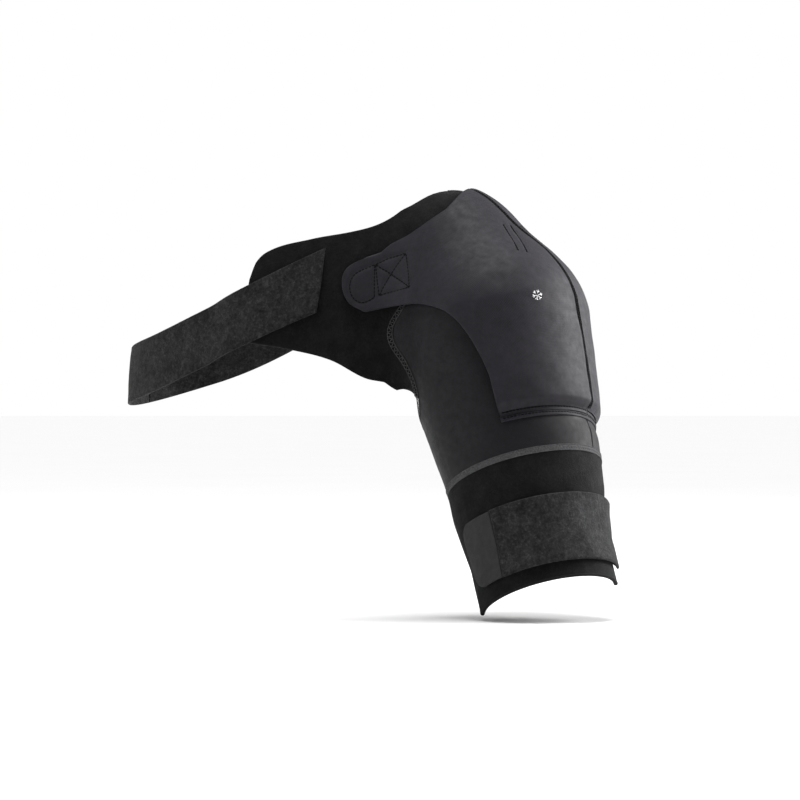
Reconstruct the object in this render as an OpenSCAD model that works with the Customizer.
// Cold compression wrap for a left shoulder: loop-faced chest and back panels, a neoprene sleeve with
// a pocket for a gel pack over the shoulder, an arm cuff with its strap, and a strap round the chest.
//
// Frame: origin at the centre of the shoulder joint, +X to the wearer's left, -Y to the front, +Z up.
// Every soft panel is a patch of the wearer's form, raised by the thickness of what lies under it.
// A place on the form is [s, a]: s is the way in mm from the breastbone over the shoulder and down the
// arm (0 where the shoulder starts to turn, negative on the chest), and a is the angle in degrees
// round that way: 0 in front, 90 on top and outside, 180 behind, -90 in the armpit.

/* [Wearer] */
// Radius of the upper arm, carried up to the shoulder joint
arm_r = 80.5; // [78:0.5:82]
// How much the arm's radius falls for each millimetre down the arm
arm_taper = 0.12; // [0.11:0.005:0.125]
// Radius of the arm where the cuff grips it
cuff_r = 51; // [50:0.5:52]
// How far the arm is held out to the side
arm_out = 20; // [18:1:22]
// How far the arm is held forward
arm_forward = 13; // [11:1:15]
// Half width of the chest
chest_half_w = 150; // [145:1:155]
// Half depth of the chest
chest_half_d = 98; // [95:1:101]

/* [Panels] */
// Thickness of the neoprene panels that lie on the wearer
base_t = 3; // [2.5:0.1:3.5]
// Thickness of the neoprene of the cap and its tabs
cap_t = 2.5; // [2:0.1:2.8]
// Where the cuff is sewn to the sleeve, along the arm
cuff_seam_s = 203; // [201:0.5:205]
// Where the pocket ends above the cuff, along the arm
pocket_end_s = 172; // [170:0.5:174]

/* [Cuff] */
// Distance of the front of the cuff's hem from the shoulder joint, along the arm
hem_t = 285; // [282:0.5:288]
// How steeply the back of the hem rises, as rise over depth
hem_rise = 0.8; // [0.7:0.05:0.85]

/* [Straps] */
// Thickness of the elastic straps
strap_t = 2.6; // [2.2:0.1:3]
// Height of the chest strap
chest_strap_w = 49; // [46:1:52]
// Width of the arm strap
arm_strap_w = 55; // [52:1:57]
// Thickness of the hook patches
hook_t = 1.2; // [1:0.1:1.4]

/* [Cold pack] */
// Thickness of the cold pack
pack_t = 4; // [3.6:0.1:4]
// Angle of the arm that the cold pack covers
pack_angle = 110; // [100:5:115]
// Thickness of the pack's films
film_t = 0.5; // [0.4:0.1:0.6]

/* [Hidden] */

// Colours
charcoal = [0.23, 0.22, 0.24];
sleeve_grey = [0.16, 0.155, 0.17];
loop_black = [0.11, 0.11, 0.11];
strap_black = [0.17, 0.17, 0.175];
tab_grey = [0.22, 0.22, 0.22];
seam_grey = [0.55, 0.55, 0.56];
film_blue = [0.55, 0.72, 0.86];
gel_blue = [0.20, 0.50, 0.80];

// Clearances
body_gap = 0.6;
sewn_gap = 0.1;
panel_gap = 0.4;
seam_gap = 0.5;
seam_t = 0.5;
root_gap = 1.2;

// The wearer's form
deltoid_t = 54;
deltoid_h = 74;
yoke_in = [-110, 10, 22];
yoke_out = [-22, 6, 21];
yoke_r = 46;
yoke_blend = 45;
chest_blend = 30;
chest_centre = [-162, 0, -110];
chest_half = [chest_half_w, chest_half_d, 230];
armpit_free = 4;
armpit_a = -40;

// The way along which s runs
pivot = [-50, 0, -140];
way_y = 6;
way_up = 100;
bend_s = 140;
arm_turn = 90 - arm_out;

arm_dir = [cos(arm_forward) * sin(arm_out), -sin(arm_forward), -cos(arm_forward) * cos(arm_out)];
arm_front = [-sin(arm_forward) * sin(arm_out), -cos(arm_forward), sin(arm_forward) * cos(arm_out)];
arm_side = [cos(arm_out), 0, sin(arm_out)];
bend_t = (pivot.x * arm_side.z - pivot.z * arm_side.x) / (arm_dir.x * arm_side.z - arm_dir.z * arm_side.x);
bend_end = bend_t * arm_dir;
bend_up = (bend_end - pivot) * arm_side;

// Heights above the form
hook_h = base_t + body_gap;
over_hook_h = hook_h + hook_t + sewn_gap;
pack_h = base_t + body_gap;
cap_over_pack_h = pack_h + pack_t + 0.5;
cap_sewn_h = base_t + 0.3;
cap_rest_h = over_hook_h + 0.3;

// The cold pack, measured down the arm from the joint
pack_top_t = 67;
pack_end_t = 137;
pack_front_a = 30;
pack_rim = 7;

// Straps
strap_top_s = 240;
strap_turn_a = 30;
strap_tab_a = -5;
strap_sewn_a = 248;
strap_rise = 35;
far_a = 205;
chest_front_turn = -93;
chest_back_turn = 88;

// Between 0 and 1, smooth at both ends, as x goes from one value to another
function ease(x, from, to) = let (k = min(max((x - from) / (to - from), 0), 1)) k * k * (3 - 2 * k);
function mix(a, b, k) = a + (b - a) * k;
function smooth_min(a, b, k) = let (h = max(k - abs(a - b), 0) / k) min(a, b) - h * h * k / 4;

// A smooth curve through points [x, y], read at x
function curve(points, x, i = 0) =
    i >= len(points) - 2 || x < points[i + 1].x ? curve_piece(points, x, i) : curve(points, x, i + 1);
function slope(points, i) =
    let (a = points[max(i - 1, 0)], b = points[min(i + 1, len(points) - 1)])
    (b.y - a.y) / (b.x - a.x);
function curve_piece(points, x, i) =
    let (p = points[i], q = points[i + 1], w = q.x - p.x, k = min(max((x - p.x) / w, 0), 1))
    (2 * k ^ 3 - 3 * k ^ 2 + 1) * p.y + (k ^ 3 - 2 * k ^ 2 + k) * w * slope(points, i)
    + (3 * k ^ 2 - 2 * k ^ 3) * q.y + (k ^ 3 - k ^ 2) * w * slope(points, i + 1);

// How far a point is outside the arm, the yoke of the shoulder and the chest
function arm_radius(t) = max(arm_r - arm_taper * t, cuff_r);
function arm_form(p) =
    let (t = p * arm_dir, side = norm(p - t * arm_dir), r = arm_radius(deltoid_t))
    t > deltoid_t ? side - arm_radius(t) : norm([side, (t - deltoid_t) * r / deltoid_h]) - r;
function yoke_form(p) =
    let (d = yoke_in - yoke_out, k = min(max((p - yoke_out) * d / (d * d), 0), 1))
    norm(p - yoke_out - k * d) - yoke_r;
function chest_form(p) =
    let (q = p - chest_centre, a = [for (i = [0:2]) q[i] / chest_half[i]])
    norm(a) * (norm(a) - 1) / norm([for (i = [0:2]) a[i] / chest_half[i]]);
function form(p, chest_off) =
    smooth_min(smooth_min(arm_form(p), yoke_form(p), yoke_blend), chest_form(p) + chest_off, chest_blend);

// The first point outside the form, at height h, seen from inside along d, found by halving
function reach(from, d, h, chest_off = 0, near = 0, far = 260, steps = 17) =
    let (half = (near + far) / 2)
    steps == 0 ? from + near * d
    : form(from + half * d, chest_off) < h ? reach(from, d, h, chest_off, half, far, steps - 1)
    : reach(from, d, h, chest_off, near, half, steps - 1);

// The point at height h above the place [s, a]
function at(s, a, h) =
    let (
        k = min(max(s / bend_s, 0), 1),
        turn = arm_turn * k,
        lean = arm_forward * k,
        up = [sin(turn), 0, cos(turn)],
        on = [cos(turn), 0, -sin(turn)],
        front = [0, -cos(lean), 0] - on * sin(lean),
        bend_at = pivot + mix(way_up, bend_up, k) * up,
        centre = [bend_at.x, mix(way_y, bend_end.y, k), bend_at.z]
            + [min(s, 0), 0, 0] + max(s - bend_s, 0) * arm_dir,
        low = a > 90 ? 180 - a : a
    )
    reach(centre, cos(a) * front + sin(a) * up, h, armpit_free * max(armpit_a - low, 0));

// The point at height h above the chest, at an angle round its middle and a height z
function chest_at(turn, z, h) =
    reach([chest_centre.x, chest_centre.y, z], [cos(turn), sin(turn), 0], h);

// A closed shell between two sheets of nu by nv cells: low(u, v) and high(u, v) give their points
module shell(nu, nv, low, high) {
    row = nv + 1;
    half = (nu + 1) * row;
    points = [
        for (side = [low, high]) for (i = [0:nu]) for (j = [0:nv]) side(i / nu, j / nv)
    ];
    sheets = [
        for (i = [0:nu - 1]) for (j = [0:nv - 1])
        let (a = i * row + j, b = a + row, c = half + a, d = half + b)
        each [[a, a + 1, b + 1], [a, b + 1, b], [c, d + 1, c + 1], [c, d, d + 1]]
    ];
    edges = concat(
        [for (i = [0:nu]) i * row],
        [for (j = [1:nv]) nu * row + j],
        [for (i = [nu - 1:-1:0]) i * row + nv],
        [for (j = [nv - 1:-1:1]) j]
    );
    walls = [
        for (k = [0:len(edges) - 1])
        let (a = edges[k], b = edges[(k + 1) % len(edges)])
        each [[a, b, half + b], [a, half + b, half + a]]
    ];
    polyhedron(points, concat(sheets, walls), convexity = 8);
}

// A panel of the form: place(u, v) gives [s, a], and low(s, a) is the height of its inner face
module panel(nu, nv, place, low, thick) {
    shell(
        nu, nv,
        function(u, v) let (p = place(u, v)) at(p[0], p[1], low(p[0], p[1])),
        function(u, v) let (p = place(u, v)) at(p[0], p[1], low(p[0], p[1]) + thick)
    );
}

// A stretch of the chest strap: place(u, v) gives [turn, z], and low(turn) is the height of its inner face
module chest_piece(nu, nv, place, low, thick) {
    shell(
        nu, nv,
        function(u, v) let (p = place(u, v)) chest_at(p[0], p[1], low(p[0])),
        function(u, v) let (p = place(u, v)) chest_at(p[0], p[1], low(p[0]) + thick)
    );
}

// A narrow strip along a line of places line(u) = [s, a], with half its width given along s and a
module strip(n, line, half_s, half_a, low, thick) {
    panel(n, 1, function(u, v) line(u) + [half_s, half_a] * (2 * v - 1), low, thick);
}

function flat(h) = function(s, a) h;
function behind(a, back) = back ? 180 - a : a;

// Outlines, as [angle, s] or [s, angle]
armhole_line = [
    [-90, 150], [-62, 128], [-39, 90], [-24, 42], [-14, 15], [-4, 8], [11, 17], [40, 32], [90, 45]
];
neck_line = [[-112, 20], [-107, 29], [-95, 34.5], [-63, 41], [-33, 49], [-10, 59], [4, 71], [14, 90]];
lower_line = [[-112, -8.5], [-71, -12.5], [-39, -18.5], [-8, -31], [40, -41], [98, -43]];
cap_neck_line = [
    [8.5, 0], [25, -3.5], [40.5, -6.9], [41.5, -5.8], [45, -1], [53, 11], [61, 20], [69, 25], [90, 24]
];
cap_front_line = [[0, 8.5], [24, 12.8], [54, 17], [79, 19.4], [119, 18.2], [172, 18]];

function armhole_s(a) = curve(armhole_line, a);

// Both sheets that meet at the armhole have their corners at the same angles, from share u of the way up
low_cells = 10;
high_cells = 14;
hole_cells = low_cells + high_cells;
function armhole_a(u) =
    let (k = u * hole_cells - low_cells)
    k < 0 ? mix(lower_a, -neck_a, -k / low_cells) : mix(lower_a, neck_a, k / high_cells);

// Chest or back panel: from its free end to the armhole, between its lower edge and the neck
neck_a = 90 - 0.3;
lower_a = -43;
function body_panel_place(u, v, lift) =
    let (
        low_s = mix(-112, 98, u),
        top_s = mix(-112, 45, u),
        top_a = top_s < 14 ? curve(neck_line, top_s) : neck_a,
        hole_a = mix(lower_a, neck_a, v),
        hole_s = armhole_s(hole_a) - panel_gap,
        straight_s = mix(low_s, top_s, v),
        end_s = mix(98, 45, v),
        raise = lift * (1 - ease(u, 0, 0.6))
    )
    [straight_s + u ^ 2 * (hole_s - end_s), min(mix(curve(lower_line, low_s), top_a, v) + raise, neck_a)];

module body_panel(back, lift) {
    panel(
        24, high_cells,
        function(u, v) let (p = body_panel_place(u, v, lift)) [p[0], behind(p[1], back)],
        flat(0), base_t
    );
}

module chest_panel() {
    color(loop_black) body_panel(false, 0);
}

module back_panel() {
    color(loop_black) body_panel(true, 7);
}

module shoulder_ridge_seam() {
    color(seam_grey)
    strip(8, function(u) [mix(16, 43, u), 90], 0, 2.2, flat(base_t + seam_gap), seam_t);
}

// The seam that joins a panel to the sleeve, from under the arm to the top of the shoulder
module armhole_seam(back) {
    strip(
        hole_cells - 2,
        function(u)
            let (a = armhole_a(mix(1, hole_cells - 1, u) / hole_cells)) [armhole_s(a), behind(a, back)],
        2.5, 0, flat(base_t + seam_gap), seam_t
    );
}

module armhole_seam_front() {
    color(seam_grey) armhole_seam(false);
}

module armhole_seam_back() {
    color(seam_grey) armhole_seam(true);
}

module sleeve_panel(back) {
    panel(
        hole_cells, 12,
        function(u, v)
            let (a = armhole_a(u)) [mix(armhole_s(a), cuff_seam_s - panel_gap, v), behind(a, back)],
        flat(0), base_t
    );
}

module sleeve_front_panel() {
    color(sleeve_grey) sleeve_panel(false);
}

module sleeve_back_panel() {
    color(sleeve_grey) sleeve_panel(true);
}

module underarm_seam() {
    color(seam_grey)
    strip(6, function(u) [mix(153, 199, u), -90], 0, 2.4, flat(base_t + seam_gap), seam_t);
}

// Things turned about the arm: z runs up the arm, and -Y is the front
module on_arm() {
    rotate([0, -arm_out, 0]) rotate([-arm_forward, 0, 0]) children();
}

// Distance from the joint, down the arm, of a place s on the arm
function arm_t(s) = bend_t + s - bend_s;

// What the back of the hem leaves out: a wedge that rises from the sides to the back of the arm
module behind_hem(t) {
    side = 220;
    rotate([0, 0, far_a - 90]) translate([0, 0, -t]) rotate([0, -atan(hem_rise), 0])
    translate([0, -side / 2, -side]) cube([side, side, side]);
}

module cuff_seam() {
    t = arm_t(cuff_seam_s);
    r = arm_radius(t) + base_t + sewn_gap;
    half = 2.8;
    color(seam_grey) on_arm() rotate_extrude($fn = 96)
    polygon([
        [r + arm_taper * half, half - t], [r + arm_taper * half + 0.8, half - t],
        [r - arm_taper * half + 0.8, -half - t], [r - arm_taper * half, -half - t]
    ]);
}

module cuff_band() {
    top = arm_t(cuff_seam_s);
    grip = (arm_r - cuff_r) / arm_taper;
    color(loop_black) on_arm() difference() {
        rotate_extrude($fn = 96) polygon([
            [arm_radius(top), -top], [arm_radius(top) + base_t, -top],
            [cuff_r + base_t, -grip], [cuff_r + base_t, -hem_t],
            [cuff_r, -hem_t], [cuff_r, -grip]
        ]);
        behind_hem(hem_t);
    }
}

// The hem: an edge binding round the outside of the cuff's rim, level in front and rising behind with it
module cuff_hem() {
    width = 3;
    grip = (arm_r - cuff_r) / arm_taper;
    low = base_t + sewn_gap;
    high = low + 0.8;
    top = 150;
    color(loop_black) on_arm() difference() {
        rotate_extrude($fn = 96) polygon([
            [cuff_r + low, -hem_t], [cuff_r + high, -hem_t], [cuff_r + high, -grip],
            [arm_radius(top) + high, -top], [arm_radius(top) + low, -top], [cuff_r + low, -grip]
        ]);
        behind_hem(hem_t);
        difference() {
            translate([0, 0, width - hem_t]) cylinder(h = 200, r = 90, $fn = 96);
            behind_hem(hem_t - width);
        }
    }
}

// The cap over the pocket: over the seams and hooks, raised where the pack slides under it, low at its hem
function cap_h(s, a) =
    mix(cap_rest_h, cap_over_pack_h, ease(s, 48, 76))
    - (cap_over_pack_h - cap_sewn_h) * ease(s, pocket_end_s - 10, pocket_end_s - 1);

function cap_place(u, v) =
    let (
        a0 = mix(8.5, 89.6, u),
        s = mix(curve(cap_neck_line, a0), pocket_end_s, v)
    )
    [s, mix(curve(cap_front_line, s), 89.6, u)];

module cap_panel(back) {
    panel(
        15, 20,
        function(u, v) let (p = cap_place(u, v)) [p[0], behind(p[1], back)],
        function(s, a) cap_h(s, a), cap_t
    );
}

module cap_front_panel() {
    color(charcoal) cap_panel(false);
}

module cap_back_panel() {
    color(charcoal) cap_panel(true);
}

module cap_outer_seam() {
    color(charcoal)
    strip(
        20, function(u) [mix(76, 168, u), 90], 0, 1.6,
        function(s, a) cap_h(s, a) + cap_t + 1.6 * seam_gap, seam_t
    );
}

module cap_dart_seam() {
    color(charcoal)
    strip(
        6, function(u) [mix(50, 71, u), mix(83, 71, u)], 0, 1.3,
        function(s, a) cap_h(s, a) + cap_t + seam_gap, seam_t
    );
}

module pocket_bottom_hem() {
    color(charcoal)
    strip(
        30, function(u) [pocket_end_s + 1.8, mix(18, 162, u)], 1.4, 0, flat(base_t + sewn_gap), cap_t
    );
}

// A tab of the cap: from the cap's edge to its round end, over the loop of the panel
tab_root_a = [8.5, 40.94];
tab_tip_s = [[0, -14], [0.25, -27], [0.5, -33], [0.75, -31], [1, -17]];
tab_tip_a = [[0, 6], [0.25, 11], [0.5, 20], [0.75, 29], [1, 37]];
function tab_place(u, v) =
    let (root_a = mix(tab_root_a[0], tab_root_a[1], v), root_s = curve(cap_neck_line, root_a) - root_gap)
    mix([root_s, root_a], [curve(tab_tip_s, v), curve(tab_tip_a, v)], u);

// A tab, or what of it lies between the shares from and to of its length and side to 1 - side of its width
module tab_piece(n, back, from, to, side, low, thick) {
    panel(
        n, n,
        function(u, v)
            let (p = tab_place(mix(from, to, u), mix(side, 1 - side, v))) [p[0], behind(p[1], back)],
        flat(low), thick
    );
}

module tab(back) {
    tab_piece(8, back, 0, 1, 0, over_hook_h, cap_t);
}

module tab_hook(back) {
    tab_piece(6, back, 0.12, 0.88, 0.12, hook_h, hook_t);
}

module front_tab() {
    color(charcoal) tab(false);
}

module front_tab_hook() {
    color(loop_black) tab_hook(false);
}

module back_tab() {
    color(charcoal) tab(true);
}

module back_tab_hook() {
    color(loop_black) tab_hook(true);
}

// The arm strap: sewn on behind the arm, round the outside to the front, rising behind as the hem does
function strap_up(a) = strap_rise * max(cos(a - far_a), 0);
function arm_strap_place(from, to, top, end) =
    function(u, v) let (a = mix(from, to, u)) [mix(top, end, v) - strap_up(a), a];

module arm_strap_piece(nu, from, to, inset, low, thick) {
    panel(
        nu, 4,
        arm_strap_place(from, to, strap_top_s + inset, strap_top_s + arm_strap_w - inset),
        flat(low), thick
    );
}

module arm_strap_band() {
    color(strap_black)
    arm_strap_piece(36, strap_turn_a + 0.3, strap_sewn_a, 0, over_hook_h, strap_t);
}

module arm_strap_end() {
    color(strap_black)
    arm_strap_piece(8, strap_tab_a + 0.3, strap_turn_a - 0.3, 0, over_hook_h, strap_t);
}

// The finger tab at the end of the arm strap, with round corners
module arm_strap_tab() {
    color(tab_grey)
    panel(
        8, 8,
        function(u, v)
            let (
                across = 2 * v - 1,
                round_end = 1 - sqrt(max(1 - abs(across) ^ 3, 0)),
                a = mix(-46 + 14 * round_end, strap_tab_a - 0.3, u)
            )
            [strap_top_s + arm_strap_w * v, a],
        flat(over_hook_h), strap_t
    );
}

module arm_strap_hook() {
    color(loop_black) arm_strap_piece(12, -36, 16, 6, hook_h, hook_t);
}

// The chest strap: down across the chest, under the other arm and up across the back
chest_strap_line = [
    [-50, -3], [-60, -11], [-87, -32], [-119, -56], [-150, -76], [-180, -82],
    [-210, -64], [-240, -36], [-260, -15], [-280, -1], [-310, 6]
];
function chest_strap_z(turn) = curve([for (p = chest_strap_line) [-p.x, p.y]], -turn);
function chest_strap_h(turn) =
    over_hook_h * (1 - ease(-turn, 96, 112)) + over_hook_h * ease(-turn, 250, 266) + 0.5;
function chest_strap_place(from, to, slant, inset) =
    function(u, v)
        let (turn = mix(from + slant * (1 - v), to, u))
        [turn, chest_strap_z(turn) + (v - 0.5) * (chest_strap_w - inset)];

module chest_strap_band() {
    color(strap_black)
    chest_piece(
        44, 3, chest_strap_place(chest_front_turn - 0.3, chest_back_turn - 360 + 0.3, 0, 0),
        function(turn) chest_strap_h(turn), strap_t
    );
}

module chest_strap_front_end() {
    color(strap_black)
    chest_piece(
        12, 4, chest_strap_place(-50.5, chest_front_turn + 0.3, -5, 0),
        function(turn) over_hook_h + 0.5, strap_t
    );
}

module chest_strap_front_hook() {
    color(loop_black)
    chest_piece(10, 3, chest_strap_place(-54, -84, -5, 10), function(turn) hook_h, hook_t);
}

module chest_strap_back_end() {
    color(strap_black)
    chest_piece(
        12, 4, chest_strap_place(-309, chest_back_turn - 360 - 0.3, 5, 0),
        function(turn) over_hook_h + 0.5, strap_t
    );
}

module chest_strap_back_hook() {
    color(loop_black)
    chest_piece(10, 3, chest_strap_place(-305, -280, 5, 10), function(turn) hook_h, hook_t);
}

// A curved slab round the arm: from low to high above the form, with its rim drawn in
module arm_slab(low, high, inset) {
    top = pack_top_t + inset;
    end = pack_end_t - inset;
    turned = inset / arm_radius(top) * 180 / PI;
    color("white") on_arm() rotate([0, 0, pack_front_a + turned - 90])
    rotate_extrude(angle = pack_angle - 2 * turned, $fn = 96) polygon([
        [arm_radius(top) + low, -top], [arm_radius(top) + high, -top],
        [arm_radius(end) + high, -end], [arm_radius(end) + low, -end]
    ]);
}

// Each film is a thin curved sheet with a rim that meets the other film half way
module pack_outer_film() {
    color(film_blue) difference() {
        arm_slab(pack_h + pack_t / 2 + 0.05, pack_h + pack_t, 0);
        arm_slab(pack_h, pack_h + pack_t - film_t, pack_rim);
    }
}

module pack_inner_film() {
    color(film_blue) difference() {
        arm_slab(pack_h, pack_h + pack_t / 2 - 0.05, 0);
        arm_slab(pack_h + film_t, pack_h + pack_t, pack_rim);
    }
}

module gel_filling() {
    wall = film_t + sewn_gap;
    color(gel_blue) arm_slab(pack_h + wall, pack_h + pack_t - wall, pack_rim + 0.3);
}

chest_panel();
back_panel();
shoulder_ridge_seam();
armhole_seam_front();
armhole_seam_back();
sleeve_front_panel();
sleeve_back_panel();
underarm_seam();
cuff_seam();
cuff_band();
cuff_hem();
cap_front_panel();
cap_back_panel();
cap_outer_seam();
cap_dart_seam();
pocket_bottom_hem();
arm_strap_band();
chest_strap_band();
front_tab();
front_tab_hook();
back_tab();
back_tab_hook();
arm_strap_end();
arm_strap_tab();
arm_strap_hook();
chest_strap_front_end();
chest_strap_front_hook();
chest_strap_back_end();
chest_strap_back_hook();
pack_outer_film();
pack_inner_film();
gel_filling();
